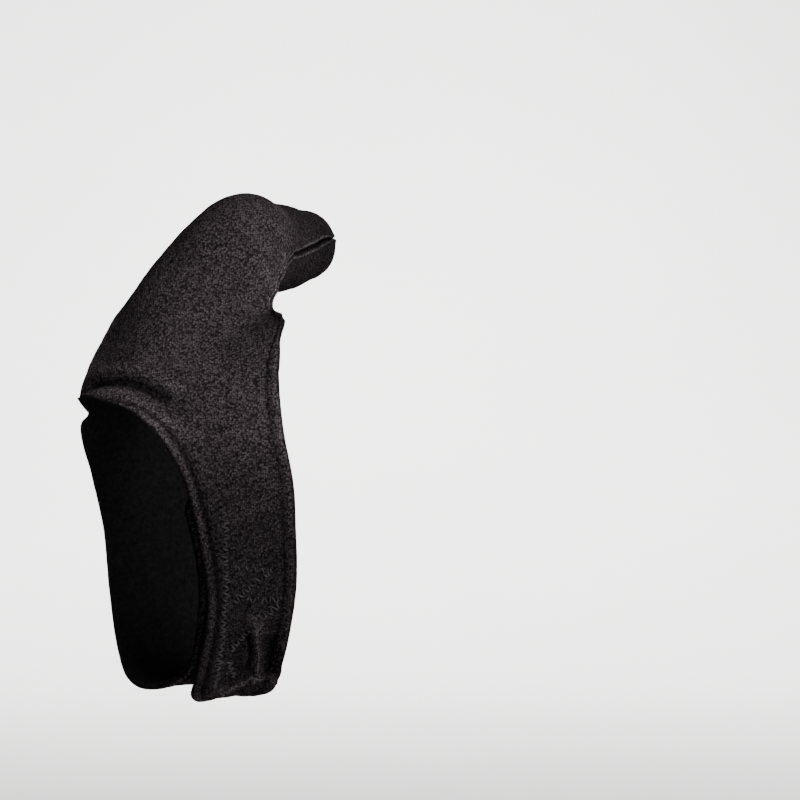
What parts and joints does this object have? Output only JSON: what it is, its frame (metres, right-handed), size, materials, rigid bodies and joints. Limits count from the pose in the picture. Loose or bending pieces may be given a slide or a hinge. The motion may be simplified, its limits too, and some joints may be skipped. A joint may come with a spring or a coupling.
{
  "type": "bowling thumb glove",
  "caption": "Thin stretch glove for the right thumb: a closed sewn thumb stall on a cloth strap that wraps round the hand and closes over an under-lap with a hidden hook patch.",
  "frame": {"origin": "middle of the hollow for the hand, at the strap", "axes": "+X from the wrist to the fingers, +Z to the thumb side along the longest extent, +Y to the palm"},
  "size_m": [0.0678, 0.0878, 0.1337],
  "materials": {
    "back_cloth": "matte",
    "palm_cloth": "matte",
    "hook_tape": "matte"
  },
  "bodies": {
    "root": {"back_panel": "back_cloth", "palm_panel": "palm_cloth", "hook_patch": "hook_tape"}
  },
  "joints": []
}
